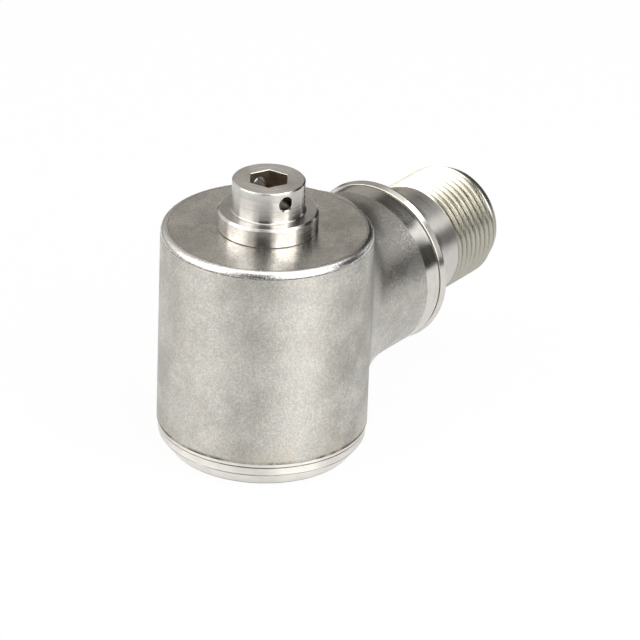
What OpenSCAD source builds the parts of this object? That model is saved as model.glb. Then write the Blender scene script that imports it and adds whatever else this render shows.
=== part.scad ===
// Low-profile vibration sensor with a side connector and a captive mounting screw.
// The origin is the centre of the mounting face, +Z runs up the screw, +X along the connector.

/* [Case] */
// Diameter of the round case
case_d = 28; // [27:0.1:30]
// Height of the case's flat top over the mounting face
case_top = 31.5; // [31:0.1:33]
// Height of the case's lower edge, where it is welded to the base
case_bottom = 3.6; // [3.2:0.1:4]
// Radius of the case's rounded top edge
case_edge = 0.93; // [0.4:0.01:1.2]
// Thickness of the case's side wall
case_wall = 1.6; // [1.2:0.1:1.8]
// Thickness of the case's top wall
top_wall = 2.5; // [2:0.1:3]

/* [Boss] */
// Diameter of the round boss that carries the connector
boss_d = 22; // [21:0.1:23]
// Height of the boss's axis over the mounting face
arm_z = 17.1; // [16.8:0.1:17.4]
// Radius of the cast blend between case and boss
blend_r = 6.5; // [4:0.1:6.5]
// Distance from the screw axis to the boss's turned collar
collar_start = 21.6; // [21:0.1:22.5]
// Distance from the screw axis to the boss's end face
boss_end = 24.25; // [24:0.05:24.4]
// Diameter of the turned collar
collar_d = 22.12; // [22.05:0.01:23]

/* [Base] */
// Largest diameter of the base's turned edge
base_d = 27.6; // [27:0.1:27.9]
// Diameter of the mounting face
face_d = 24.8; // [24:0.1:26]
// Height of the base's tapered lower edge
face_taper = 2.03; // [1:0.01:2.4]
// Outer diameter of the hollow centre post
post_d = 9.6; // [9.4:0.1:10]

/* [Captive screw] */
// Outer diameter of the screw thread
screw_d = 6.35; // [6:0.01:6.4]
// Length of thread that stands below the mounting face
screw_reach = 6.35; // [5:0.05:7]
// Diameter of the relieved shank
shank_d = 5.4; // [5:0.1:5.6]
// Diameter of the flange
flange_d = 13.3; // [12:0.1:14]
// Thickness of the flange
flange_h = 2.55; // [2:0.05:3]
// Diameter of the head
head_d = 9.58; // [9:0.01:10]
// Height of the head's top over the mounting face
head_top = 38.4; // [38:0.1:39]
// Width across the flats of the hexagon socket
socket_flats = 4.76; // [4.5:0.01:5]
// Depth of the hexagon socket
socket_depth = 3.6; // [3:0.1:4]
// Direction of one socket corner
socket_turn = 35.6; // [0:0.1:60]
// Diameter of the lockwire hole
wire_hole_d = 1.86; // [1.5:0.01:2]
// Height of the lockwire hole over the mounting face
wire_hole_z = 36.72; // [36.5:0.01:36.9]

/* [Connector] */
// Outer diameter of the connector thread
thread_d = 15.875; // [15:0.005:16]
// Diameter of the smooth barrel behind the thread
barrel_d = 15.56; // [15:0.01:15.57]
// Distance from the screw axis to the start of the thread
thread_start = 33.3; // [32:0.1:34]
// Distance from the screw axis to the end of the full thread
thread_end = 41.27; // [41:0.01:41.5]
// Distance from the screw axis to the connector's mouth
mouth_x = 43.34; // [43:0.01:43.6]
// Diameter of the connector's mouth face
mouth_d = 14.32; // [14.2:0.01:14.6]
// Diameter of the lip ring that meets the boss
lip_d = 22.64; // [22.2:0.01:23]
// Distance from the screw axis to the lip ring's front
lip_end = 25.58; // [25.4:0.01:26]
// Inner diameter of the connector's cavity
cavity_d = 12.8; // [12.6:0.1:13]
// Diameter of a contact pin
pin_d = 1.58; // [1.5:0.01:1.6]
// Distance between the two contact pins
pin_pitch = 5.5; // [5:0.1:6]

/* [Sensing element] */
// Outer diameter of a ceramic ring
piezo_d = 17.6; // [16:0.1:18]
// Thickness of a ceramic ring
piezo_h = 2.5; // [2:0.1:3]
// Outer diameter of the seismic mass
mass_d = 18.6; // [17:0.1:19]
// Height of the seismic mass
mass_h = 6.6; // [5:0.1:7]
// Width across the flats of the preload nut
nut_flats = 14; // [13:0.1:15]

/* [Hidden] */

$fn = 96;

// Colours of the materials
cast_steel = [0.62, 0.6, 0.57];
turned_steel = [0.74, 0.73, 0.7];
screw_steel = [0.78, 0.77, 0.74];
heavy_metal = [0.42, 0.42, 0.44];
ceramic = [0.86, 0.8, 0.66];
brass = [0.8, 0.65, 0.3];
plastic = [0.85, 0.83, 0.76];
green_board = [0.12, 0.35, 0.2];
black_part = [0.1, 0.1, 0.1];
tan_part = [0.7, 0.55, 0.35];
glass_blue = [0.3, 0.4, 0.55];
gold = [0.85, 0.68, 0.32];
copper = [0.75, 0.42, 0.25];
rubber = [0.08, 0.08, 0.08];

case_r = case_d / 2;
boss_r = boss_d / 2;
collar_r = collar_d / 2;
inner_r = case_r - case_wall;
inner_top = case_top - top_wall;
base_r = base_d / 2;
face_r = face_d / 2;
post_r = post_d / 2;
base_floor = case_bottom + 1;
cut = 1;

// Bore of the post: tight at the foot, with a wider chamber above that the retaining ring slides in
bore_r = screw_d / 2 + 0.275;
chamber_r = post_r - 0.7;
chamber_floor = 20;
ring_wire_r = 0.8;
ring_play = 0.05;
groove_r = 2.35;
groove_h = 2 * ring_wire_r + 2 * ring_play;
// The screw lifts until its tip is level with the mounting face, where the ring meets the top wall
ring_z = inner_top - screw_reach - ring_wire_r;

seat_gap = 0.05;
flange_z = case_top + seat_gap;
flange_r = flange_d / 2;
head_r = head_d / 2;
flange_top = flange_z + flange_h;
thread_top = 0;

// Connector
spigot_start = 20.9;
spigot_d = 17.2;
// Room left round a spigot in its seat
seat_play = 0.04;
arm_bore_d = 14;
neck_d = 21.6;
lip_start = 24.5;
glass_back = 30.3;
shell_bore_d = 10.4;
pin_tip = mouth_x - 2;
pin_back = 26.5;
cup_d = 2.2;
cup_bore_d = 1.1;
cup_depth = 2.5;
cup_h = 3;

// Stack round the post, from the base's floor up
sleeve_r = post_r + 0.6;
stack_bore_r = sleeve_r + 0.05;
insulator_h = 0.5;
electrode_h = 0.2;
insulator_r = mass_d / 2;
piezo_r = piezo_d / 2;
mass_r = mass_d / 2;
tab_reach = 10;
tab_w = 2;
lower_electrode_z = base_floor + insulator_h;
lower_piezo_z = lower_electrode_z + electrode_h;
middle_electrode_z = lower_piezo_z + piezo_h;
upper_piezo_z = middle_electrode_z + electrode_h;
upper_electrode_z = upper_piezo_z + piezo_h;
upper_insulator_z = upper_electrode_z + electrode_h;
mass_z = upper_insulator_z + insulator_h;
washer_z = mass_z + mass_h;
washer_h = 0.8;
nut_z = washer_z + washer_h;
nut_h = 2.4;

// Shield, board and leads
shield_r = 10.7;
shield_wall = 0.4;
shield_seat_h = 0.8;
shield_top = 22.8;
shield_hole_r = 5.4;
spacer_h = 1.2;
board_z = shield_top + spacer_h;
board_h = 0.8;
board_r = 12;
board_hole_r = 5.2;
board_top = board_z + board_h;
lead_r = 0.3;
lead_radius = 9.75;
signal_turn = 100;
return_turn = 260;
pin_lead_r = 0.4;
pin_lead_x = 11.3;

// A solid of revolution round the connector's axis; the outline's first number is the distance along
// that axis and its second is the radius
module turned_along_arm(outline) {
    translate([0, 0, arm_z])
        rotate([0, 90, 0])
            rotate_extrude()
                polygon([for (p = outline) [p[1], p[0]]]);
}

module arm_cylinder(d, from, to) {
    translate([from, 0, arm_z])
        rotate([0, 90, 0])
            cylinder(d = d, h = to - from);
}

module ring(outer_r, hole_r, z, h) {
    translate([0, 0, z])
        difference() {
            cylinder(r = outer_r, h = h);
            translate([0, 0, -cut]) cylinder(r = hole_r, h = h + 2 * cut);
        }
}

// Cast blend between case and boss: the surface that a ball leaves when it rolls in the corner between
// the two cylinders. Each section holds the ball's arc from the case round to the boss, and one point
// in the metal behind it. The arc starts and ends a little inside both cylinders.
blend_sink = 0.04;
blend_sections = 60;
blend_steps = 8;
blend_depth = 1;

function unit(v) = v / norm(v);
function ball_centre(t) =
    let (reach = boss_r + blend_r - blend_sink,
         y = reach * cos(t),
         x = sqrt(pow(case_r + blend_r - blend_sink, 2) - y * y))
    [x, y, reach * sin(t)];
function to_case(t) = let (c = ball_centre(t)) unit([-c[0], -c[1], 0]);
function to_boss(t) = [0, -cos(t), -sin(t)];
function turned_between(a, b, part) =
    let (angle = acos(a * b))
    (a * sin((1 - part) * angle) + b * sin(part * angle)) / sin(angle);
function blend_section(t) =
    let (c = ball_centre(t), a = to_case(t), b = to_boss(t), half = acos(a * b) / 2)
    concat(
        [for (i = [0:blend_steps]) c + blend_r * turned_between(a, b, i / blend_steps)],
        [c + (blend_r / cos(half) + blend_depth) * unit(a + b)]
    );

module blend() {
    ring_size = blend_steps + 2;
    points = [for (s = [0:blend_sections - 1]) each blend_section(360 * s / blend_sections)];
    faces = [
        for (s = [0:blend_sections - 1], i = [0:ring_size - 1])
            let (next_s = (s + 1) % blend_sections,
                 next_i = (i + 1) % ring_size,
                 p = s * ring_size + i,
                 q = s * ring_size + next_i,
                 u = next_s * ring_size + i,
                 v = next_s * ring_size + next_i)
            each [[p, q, v], [p, v, u]]
    ];
    // The case is turned at its top and bottom, and the turned stretches cut the blend off
    intersection() {
        translate([0, 0, arm_z]) polyhedron(points = points, faces = faces, convexity = 6);
        translate([0, -case_d, case_bottom + case_edge])
            cube([2 * case_d, 2 * case_d, case_top - case_bottom - 2 * case_edge]);
    }
}

module case_outside() {
    rotate_extrude()
        union() {
            translate([0, case_bottom]) square([case_r, case_top - case_edge - case_bottom]);
            translate([0, case_top - 2 * case_edge]) square([case_r - case_edge, 2 * case_edge]);
            translate([case_r - case_edge, case_top - case_edge]) circle(r = case_edge, $fn = 64);
        }
}

module case_body() {
    color(cast_steel)
        difference() {
            union() {
                case_outside();
                blend();
                arm_cylinder(boss_d, 0, collar_start + 0.1);
                arm_cylinder(collar_d, collar_start, boss_end);
            }
            translate([0, 0, case_bottom - cut])
                cylinder(r = inner_r, h = inner_top - case_bottom + cut);
            cylinder(r = bore_r, h = case_top + cut);
            arm_cylinder(arm_bore_d, 0, boss_end + cut);
            arm_cylinder(spigot_d, spigot_start, boss_end + cut);
        }
}

module base_plate() {
    seam = 0.5;
    seam_notch = 0.1;
    face_edge = 0.15;
    hole_edge = 0.4;
    color(turned_steel)
        rotate_extrude()
            polygon([
                [bore_r + hole_edge, 0],
                [face_r - face_edge, 0],
                [face_r, face_edge],
                [base_r, face_taper],
                [base_r, case_bottom - seam - seam_notch],
                [base_r - seam_notch, case_bottom - seam],
                [base_r + seam_notch, case_bottom - seam + seam_notch],
                [base_r + seam_notch, case_bottom],
                [inner_r - seat_play, case_bottom],
                [inner_r - seat_play, base_floor],
                [post_r, base_floor],
                [post_r, inner_top],
                [chamber_r, inner_top],
                [chamber_r, chamber_floor],
                [bore_r, chamber_floor - (chamber_r - bore_r)],
                [bore_r, hole_edge]
            ]);
}

// The screw's outline, from the tip up to the top of the head
module captive_screw() {
    tip_edge = 0.6;
    ring_low = ring_z - groove_h / 2;
    ring_high = ring_z + groove_h / 2;
    rim_edge = 0.3;
    under_edge = 0.12;
    foot_r = 0.45;
    head_edge = 0.2;
    socket_r = socket_flats / 2 / cos(30);
    mouth_edge = 0.2;
    drill_tip = 0.7;
    rim_r = 1.2;
    rim_depth = 0.25;
    color(screw_steel)
        difference() {
            rotate_extrude()
                polygon(concat(
                    [
                        [0, -screw_reach],
                        [screw_d / 2 - tip_edge, -screw_reach],
                        [screw_d / 2, -screw_reach + tip_edge],
                        [screw_d / 2, thread_top],
                        [shank_d / 2, thread_top + tip_edge],
                        [shank_d / 2, ring_low],
                        [groove_r, ring_low],
                        [groove_r, ring_high],
                        [shank_d / 2, ring_high],
                        [shank_d / 2, flange_z],
                        [flange_r - under_edge, flange_z],
                        [flange_r, flange_z + under_edge],
                        [flange_r, flange_top - rim_edge],
                        [flange_r - rim_edge, flange_top]
                    ],
                    [for (a = [0:15:90])
                        [head_r + foot_r - foot_r * sin(a), flange_top + foot_r - foot_r * cos(a)]],
                    [
                        [head_r, head_top - head_edge],
                        [head_r - head_edge, head_top],
                        [0, head_top]
                    ]
                ));
            rotate([0, 0, socket_turn]) {
                translate([0, 0, head_top - socket_depth])
                    cylinder(r = socket_r, h = socket_depth + cut, $fn = 6);
                // Chamfer round the socket's mouth
                translate([0, 0, head_top - mouth_edge])
                    cylinder(r1 = socket_r, r2 = socket_r + 2 * mouth_edge / cos(30),
                             h = 2 * mouth_edge, $fn = 6);
                translate([0, 0, head_top - socket_depth - drill_tip])
                    cylinder(r1 = 0.4, r2 = socket_flats / 2, h = drill_tip + 0.01);
            }
            // The lockwire hole runs square to a pair of the socket's flats
            translate([0, 0, wire_hole_z])
                rotate([0, 90, socket_turn + 30]) {
                    translate([0, 0, -head_d]) cylinder(d = wire_hole_d, h = 2 * head_d, $fn = 48);
                    for (side = [0, 180])
                        rotate([side, 0, 0])
                            translate([0, 0, head_r - rim_depth])
                                cylinder(r1 = wire_hole_d / 2, r2 = rim_r + rim_depth,
                                         h = 2 * rim_depth, $fn = 48);
                }
        }
}

module retaining_ring() {
    color(rubber)
        translate([0, 0, ring_z])
            rotate_extrude()
                translate([groove_r + ring_play + ring_wire_r, 0]) circle(r = ring_wire_r, $fn = 32);
}

module connector_shell() {
    lip_edge = 0.15;
    mouth_edge = 0.25;
    key_w = 3;
    key_r = 6.95;
    color(turned_steel)
        difference() {
            turned_along_arm([
                [spigot_start, shell_bore_d / 2],
                [spigot_start, spigot_d / 2 - seat_play],
                [boss_end, spigot_d / 2 - seat_play],
                [boss_end, neck_d / 2],
                [lip_start, neck_d / 2],
                [lip_start, lip_d / 2 - lip_edge],
                [lip_start + lip_edge, lip_d / 2],
                [lip_end - lip_edge, lip_d / 2],
                [lip_end, lip_d / 2 - lip_edge],
                [lip_end, barrel_d / 2],
                [thread_start, barrel_d / 2],
                [thread_start, thread_d / 2],
                [thread_end, thread_d / 2],
                [mouth_x, mouth_d / 2],
                [mouth_x, cavity_d / 2 + mouth_edge],
                [mouth_x - mouth_edge, cavity_d / 2],
                [glass_back, cavity_d / 2],
                [glass_back, shell_bore_d / 2]
            ]);
            // Keyway in the cavity's upper wall
            translate([thread_start, -key_w / 2, arm_z])
                cube([mouth_x, key_w, key_r]);
        }
}

module glass_seal() {
    color(glass_blue)
        difference() {
            arm_cylinder(cavity_d, glass_back, thread_start);
            for (side = [-1, 1])
                translate([0, side * pin_pitch / 2, 0])
                    arm_cylinder(pin_d, glass_back - cut, thread_start + cut);
        }
}

module contact_pin(side) {
    tip_edge = 0.35;
    color(gold)
        translate([0, side * pin_pitch / 2, 0])
            turned_along_arm([
                [pin_back, cup_bore_d / 2],
                [pin_back, cup_d / 2],
                [pin_back + cup_h, cup_d / 2],
                [pin_back + cup_h, pin_d / 2],
                [pin_tip - tip_edge, pin_d / 2],
                [pin_tip, pin_d / 2 - tip_edge],
                [pin_tip, 0],
                [pin_back + cup_depth, 0],
                [pin_back + cup_depth, cup_bore_d / 2]
            ]);
}

module contact_pin_a() { contact_pin(-1); }

module contact_pin_b() { contact_pin(1); }

module insulating_sleeve() {
    color(plastic) ring(sleeve_r, post_r, base_floor, washer_z - base_floor);
}

module stack_insulator(z) {
    color(plastic) ring(insulator_r, stack_bore_r, z, insulator_h);
}

module lower_insulator() { stack_insulator(base_floor); }

module upper_insulator() { stack_insulator(upper_insulator_z); }

// A thin contact washer with one soldering tab
module electrode(z, turn) {
    color(brass)
        translate([0, 0, z])
            rotate([0, 0, turn])
                linear_extrude(electrode_h)
                    difference() {
                        union() {
                            circle(r = piezo_r);
                            translate([piezo_r - tab_w, -tab_w / 2])
                                square([tab_reach - piezo_r + tab_w, tab_w]);
                        }
                        circle(r = stack_bore_r);
                    }
}

module lower_electrode() { electrode(lower_electrode_z, return_turn); }

module middle_electrode() { electrode(middle_electrode_z, signal_turn); }

module upper_electrode() { electrode(upper_electrode_z, return_turn); }

module lower_piezo_ring() {
    color(ceramic) ring(piezo_r, stack_bore_r, lower_piezo_z, piezo_h);
}

module upper_piezo_ring() {
    color(ceramic) ring(piezo_r, stack_bore_r, upper_piezo_z, piezo_h);
}

module seismic_mass() {
    edge = 0.3;
    color(heavy_metal)
        rotate_extrude()
            polygon([
                [stack_bore_r, mass_z],
                [mass_r - edge, mass_z],
                [mass_r, mass_z + edge],
                [mass_r, washer_z - edge],
                [mass_r - edge, washer_z],
                [stack_bore_r, washer_z]
            ]);
}

// Conical spring washer, high at its bore, where the nut bears on it
module preload_washer() {
    thick = 0.5;
    land = 0.4;
    outer = 7.4;
    color(turned_steel)
        rotate_extrude()
            polygon([
                [post_r, washer_z + washer_h - thick],
                [outer - land, washer_z],
                [outer, washer_z],
                [outer, washer_z + thick],
                [post_r + land, nut_z],
                [post_r, nut_z]
            ]);
}

module preload_nut() {
    color(turned_steel)
        difference() {
            translate([0, 0, nut_z]) cylinder(r = nut_flats / 2 / cos(30), h = nut_h, $fn = 6);
            translate([0, 0, nut_z - cut]) cylinder(r = post_r, h = nut_h + 2 * cut);
        }
}

module shield_seat() {
    color(plastic)
        ring(shield_r, shield_r - shield_wall - 0.1, base_floor, shield_seat_h);
}

module shield_can() {
    color(turned_steel)
        difference() {
            translate([0, 0, base_floor + shield_seat_h])
                cylinder(r = shield_r, h = shield_top - base_floor - shield_seat_h);
            translate([0, 0, base_floor])
                cylinder(r = shield_r - shield_wall, h = shield_top - shield_wall - base_floor);
            translate([0, 0, base_floor]) cylinder(r = shield_hole_r, h = shield_top);
            // Holes for the two inner leads
            for (turn = [signal_turn, return_turn])
                rotate([0, 0, turn])
                    translate([lead_radius, 0, base_floor]) cylinder(r = 2 * lead_r, h = shield_top, $fn = 24);
        }
}

module board_spacer() {
    color(plastic) ring(9, 6.4, shield_top, spacer_h);
}

module circuit_board() {
    color(green_board) ring(board_r, board_hole_r, board_z, board_h);
}

// Chip with a row of four gull-wing feet on each long side
module amplifier_chip() {
    body = [3.9, 4.9, 1.4];
    standoff = 0.15;
    foot_w = 0.4;
    foot_reach = 1;
    color(black_part)
        translate([-8.4, 0, board_top]) {
            translate([-body[0] / 2, -body[1] / 2, standoff]) cube(body);
            for (side = [-1, 1], i = [-1.5:1:1.5])
                translate([side > 0 ? body[0] / 2 - 0.2 : -body[0] / 2 - foot_reach + 0.2,
                           i * 1.27 - foot_w / 2, 0])
                    cube([foot_reach, foot_w, 0.2 + standoff]);
        }
}

// A rectangular part with a soldering cap on each end
module chip_part(turn, size, cap) {
    rotate([0, 0, turn])
        translate([8.6, 0, board_top]) {
            translate([-size[0] / 2, -size[1] / 2, 0]) cube(size);
            for (side = [-1, 1])
                translate([-size[0] / 2 - 0.05, side * (size[1] - cap) / 2 - cap / 2, 0])
                    cube([size[0] + 0.1, cap, size[2] + 0.05]);
        }
}

module coupling_capacitor() { color(tan_part) chip_part(75, [2.5, 3.2, 1.6], 0.6); }

module bias_diode() { color(black_part) chip_part(130, [1.6, 2.8, 1.1], 0.4); }

module feedback_resistor() { color(black_part) chip_part(285, [1.6, 3.2, 0.6], 0.5); }

// A round wire along a path: one ring of points for each point of the path
function path_step(path, i) =
    unit(path[min(i + 1, len(path) - 1)] - path[max(i - 1, 0)]);
module wire(path, r, side) {
    sides = 8;
    rings = len(path);
    points = [
        for (i = [0:rings - 1])
            let (along = path_step(path, i),
                 across = unit(cross(along, side)),
                 over = cross(across, along))
            for (k = [0:sides - 1])
                path[i] + r * (across * cos(360 * k / sides) + over * sin(360 * k / sides))
    ];
    faces = concat(
        [[for (k = [0:sides - 1]) k]],
        [[for (k = [0:sides - 1]) rings * sides - 1 - k]],
        [for (i = [0:rings - 2], k = [0:sides - 1])
            each [
                [i * sides + k, (i + 1) * sides + k, i * sides + (k + 1) % sides],
                [i * sides + (k + 1) % sides, (i + 1) * sides + k, (i + 1) * sides + (k + 1) % sides]
            ]]
    );
    polyhedron(points = points, faces = faces, convexity = 4);
}

// An upright lead between two levels, soldered to an electrode's tab
module stack_lead(turn, from, to) {
    color(copper)
        rotate([0, 0, turn])
            translate([lead_radius, 0, from]) cylinder(r = lead_r, h = to - from, $fn = 16);
}

module signal_lead() { stack_lead(signal_turn, middle_electrode_z + electrode_h, board_z); }

module return_lead() { stack_lead(return_turn, upper_electrode_z + electrode_h, board_z); }

// The link joins the two outer electrodes
module link_lead() { stack_lead(return_turn, lower_electrode_z + electrode_h, upper_electrode_z); }

// A lead from the solder cup of a contact pin, back along the arm and up to the board's underside
module pin_lead(side) {
    bend = 3;
    color(copper)
        wire(concat(
                [[pin_back + cup_depth, side * pin_pitch / 2, arm_z]],
                [for (a = [0:15:90])
                    [pin_lead_x + bend - bend * sin(a), side * pin_pitch / 2,
                     arm_z + bend - bend * cos(a)]],
                [[pin_lead_x, side * pin_pitch / 2, board_z]]
             ),
             pin_lead_r, [0, 1, 0]);
}

module pin_lead_a() { pin_lead(-1); }

module pin_lead_b() { pin_lead(1); }

case_body();
base_plate();
captive_screw();
retaining_ring();
connector_shell();
glass_seal();
contact_pin_a();
contact_pin_b();
insulating_sleeve();
lower_insulator();
lower_electrode();
lower_piezo_ring();
middle_electrode();
upper_piezo_ring();
upper_electrode();
upper_insulator();
seismic_mass();
preload_washer();
preload_nut();
shield_seat();
shield_can();
board_spacer();
circuit_board();
amplifier_chip();
coupling_capacitor();
bias_diode();
feedback_resistor();
signal_lead();
return_lead();
link_lead();
pin_lead_a();
pin_lead_b();
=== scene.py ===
# Looks of the vibration sensor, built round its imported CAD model.
# Lengths here are millimetres in the frame of the CAD model: the origin is the centre of the mounting
# face, +Z runs up the screw and +X runs along the connector. A mesh is scaled to metres when it is made.
import math

import bmesh
import bpy
from mathutils import Matrix, Vector


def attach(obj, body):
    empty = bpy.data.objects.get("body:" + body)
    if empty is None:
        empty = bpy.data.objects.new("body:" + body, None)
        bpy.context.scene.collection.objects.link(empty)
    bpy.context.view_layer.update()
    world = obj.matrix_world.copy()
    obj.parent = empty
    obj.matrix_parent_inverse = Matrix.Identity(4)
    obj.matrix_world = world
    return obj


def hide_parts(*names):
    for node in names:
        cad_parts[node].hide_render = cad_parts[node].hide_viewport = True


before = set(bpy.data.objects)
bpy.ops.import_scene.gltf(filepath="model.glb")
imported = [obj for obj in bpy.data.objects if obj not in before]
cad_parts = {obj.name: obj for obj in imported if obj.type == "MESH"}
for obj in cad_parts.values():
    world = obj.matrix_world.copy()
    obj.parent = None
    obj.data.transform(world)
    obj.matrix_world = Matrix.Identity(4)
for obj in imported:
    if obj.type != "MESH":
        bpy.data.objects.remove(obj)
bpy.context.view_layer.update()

METRE = 0.001
TURN = 2 * math.pi

# Sizes that the CAD model also has
ARM_Z = 17.1
CASE_R = 14.0
CASE_BOTTOM = 3.6
CASE_TOP = 31.5
CASE_EDGE = 0.93
INNER_R = 12.4
SEAT_R = 12.36
INNER_TOP = 29.0
BORE_R = 3.45
BOSS_R = 11.0
BLEND_R = 6.5
COLLAR_START = 21.6
COLLAR_R = 11.06
BOSS_END = 24.25
ARM_BORE_R = 7.0
SPIGOT_START = 20.9
SPIGOT_R = 8.6
CAVITY_R = 6.4
GLASS_BACK = 30.3
THREAD_START = 33.3
THREAD_END = 41.27
THREAD_R = 15.875 / 2
THREAD_PITCH = 25.4 / 24
MOUTH_X = 43.34
MOUTH_R = 7.16
BARREL_R = 7.78
PIN_Y = 2.75
PIN_R = 0.79
SCREW_R = 3.175
SCREW_PITCH = 25.4 / 28
SCREW_TIP = -6.35
SHANK_R = 2.7
FLANGE_Z = 31.55
FLANGE_R = 6.65
FLANGE_TOP = 34.1
HEAD_R = 4.79
HEAD_TOP = 38.4
SOCKET_TURN = 35.6
SOCKET_R = 4.76 / 2 / math.cos(math.radians(30))
SOCKET_DEPTH = 3.6
WIRE_HOLE_Z = 36.72
WIRE_HOLE_R = 0.93


# Mesh helpers


class Skin:
    """Gathers patches of points into one closed mesh; shared edges are merged at the end."""

    def __init__(self):
        self.points = []
        self.faces = []
        self.slots = []

    def patch(self, rows, slot=0):
        start = len(self.points)
        width = len(rows[0])
        for row in rows:
            self.points.extend(row)
        for i in range(len(rows) - 1):
            for k in range(width - 1):
                a = start + i * width + k
                self.faces.append((a, a + 1, a + width + 1, a + width))
                self.slots.append(slot)

    def finish(self, name, smooth_angle=32):
        mesh = bpy.data.meshes.new(name)
        mesh.from_pydata([Vector(p) * METRE for p in self.points], [], self.faces)
        for polygon, slot in zip(mesh.polygons, self.slots):
            polygon.material_index = slot
        work = bmesh.new()
        work.from_mesh(mesh)
        bmesh.ops.remove_doubles(work, verts=work.verts, dist=2e-7)
        bmesh.ops.recalc_face_normals(work, faces=work.faces)
        work.to_mesh(mesh)
        work.free()
        shade(mesh, smooth_angle)
        piece = bpy.data.objects.new(name, mesh)
        bpy.context.scene.collection.objects.link(piece)
        return piece


def shade(mesh, smooth_angle):
    for polygon in mesh.polygons:
        polygon.use_smooth = True
    mesh.set_sharp_from_angle(angle=math.radians(smooth_angle))


def round_z(along, radius, angle):
    return (radius * math.cos(angle), radius * math.sin(angle), along)


def round_arm(along, radius, angle):
    return (along, radius * math.cos(angle), ARM_Z + radius * math.sin(angle))


def turned(skin, rows, place, segments, slot=0):
    """Adds a turned surface. A row is a pair (along, radius), or a function that gives it for an angle."""
    angles = [TURN * k / segments for k in range(segments + 1)]
    grid = []
    for row in rows:
        if callable(row):
            grid.append([place(*row(a), a) for a in angles])
        else:
            grid.append([place(*row, a) for a in angles])
    skin.patch(grid, slot)


def rounded(corners, closed=True, steps=4, guard=0.04):
    """The points of an outline whose corners (along, radius, rounding) are rounded.
    A guard point on each side of an arc keeps the flat beside it flat when it is shaded."""
    count = len(corners)
    points = []
    for i, (x, y, size) in enumerate(corners):
        if size <= 0 or (not closed and i in (0, count - 1)):
            points.append((x, y))
            continue
        here = Vector((x, y))
        back = Vector(corners[i - 1][:2]) - here
        ahead = Vector(corners[(i + 1) % count][:2]) - here
        angle = back.angle(ahead)
        reach = size / math.tan(angle / 2)
        start = here + back.normalized() * reach
        end = here + ahead.normalized() * reach
        middle = (back.normalized() + ahead.normalized()).normalized()
        centre = here + middle * (size / math.sin(angle / 2))
        if back.length > 4 * reach + 2 * guard:
            points.append(tuple(start + back.normalized() * guard))
        first = start - centre
        last = end - centre
        sweep = first.angle(last)
        for k in range(steps + 1):
            part = k / steps
            spot = (first * math.sin((1 - part) * sweep) + last * math.sin(part * sweep)) / math.sin(sweep)
            points.append(tuple(centre + spot))
        if ahead.length > 4 * reach + 2 * guard:
            points.append(tuple(end + ahead.normalized() * guard))
    if closed:
        points.append(points[0])
    return points


# One pitch of a 60 degree thread, from the middle of a root to the next. Each pair is a part of the pitch
# and the height there, from 0 at the root to 1 at the crest.
THREAD_SHAPE = [
    (0.0, 0.0), (0.1, 0.01), (0.14, 0.05), (0.24, 0.37), (0.34, 0.69), (0.43, 0.975), (0.445, 1.0),
    (0.555, 1.0), (0.57, 0.975), (0.66, 0.69), (0.76, 0.37), (0.86, 0.05), (0.9, 0.01), (1.0, 0.0),
]
THREAD_DEPTH = 0.5413


def thread_height(part):
    part = part % 1.0
    for (a, low), (b, high) in zip(THREAD_SHAPE, THREAD_SHAPE[1:]):
        if part <= b:
            return low + (high - low) * (part - a) / (b - a)
    return 0.0


def thread_rows(start, end, pitch, crest_r, limit):
    """Rows for turned() that follow a right-handed thread from start to end.
    limit(along, radius) gives the trimmed radius."""
    depth = THREAD_DEPTH * pitch

    def row(turns):
        def at(angle):
            along = min(max(pitch * (turns + angle / TURN), start), end)
            height = thread_height(along / pitch - angle / TURN)
            return along, limit(along, crest_r - depth * (1 - height))

        return at

    first = math.floor(start / pitch) - 1
    last = math.ceil(end / pitch)
    return [row(turn + part) for turn in range(first, last + 1) for part, height in THREAD_SHAPE[:-1]]


def cut(piece, cutters, materials):
    """Cuts the cutters out of the piece and removes them. The piece and the cutters share the materials."""
    for part in [piece] + cutters:
        for material in materials:
            part.data.materials.append(material)
    for cutter in cutters:
        step = piece.modifiers.new("cut", "BOOLEAN")
        step.operation = "DIFFERENCE"
        step.solver = "EXACT"
        step.object = cutter
    bpy.context.view_layer.update()
    result = bpy.data.meshes.new_from_object(piece.evaluated_get(bpy.context.evaluated_depsgraph_get()))
    piece.modifiers.clear()
    piece.data = result
    for cutter in cutters:
        bpy.data.objects.remove(cutter)
    shade(piece.data, 32)


# Material helpers


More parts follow.
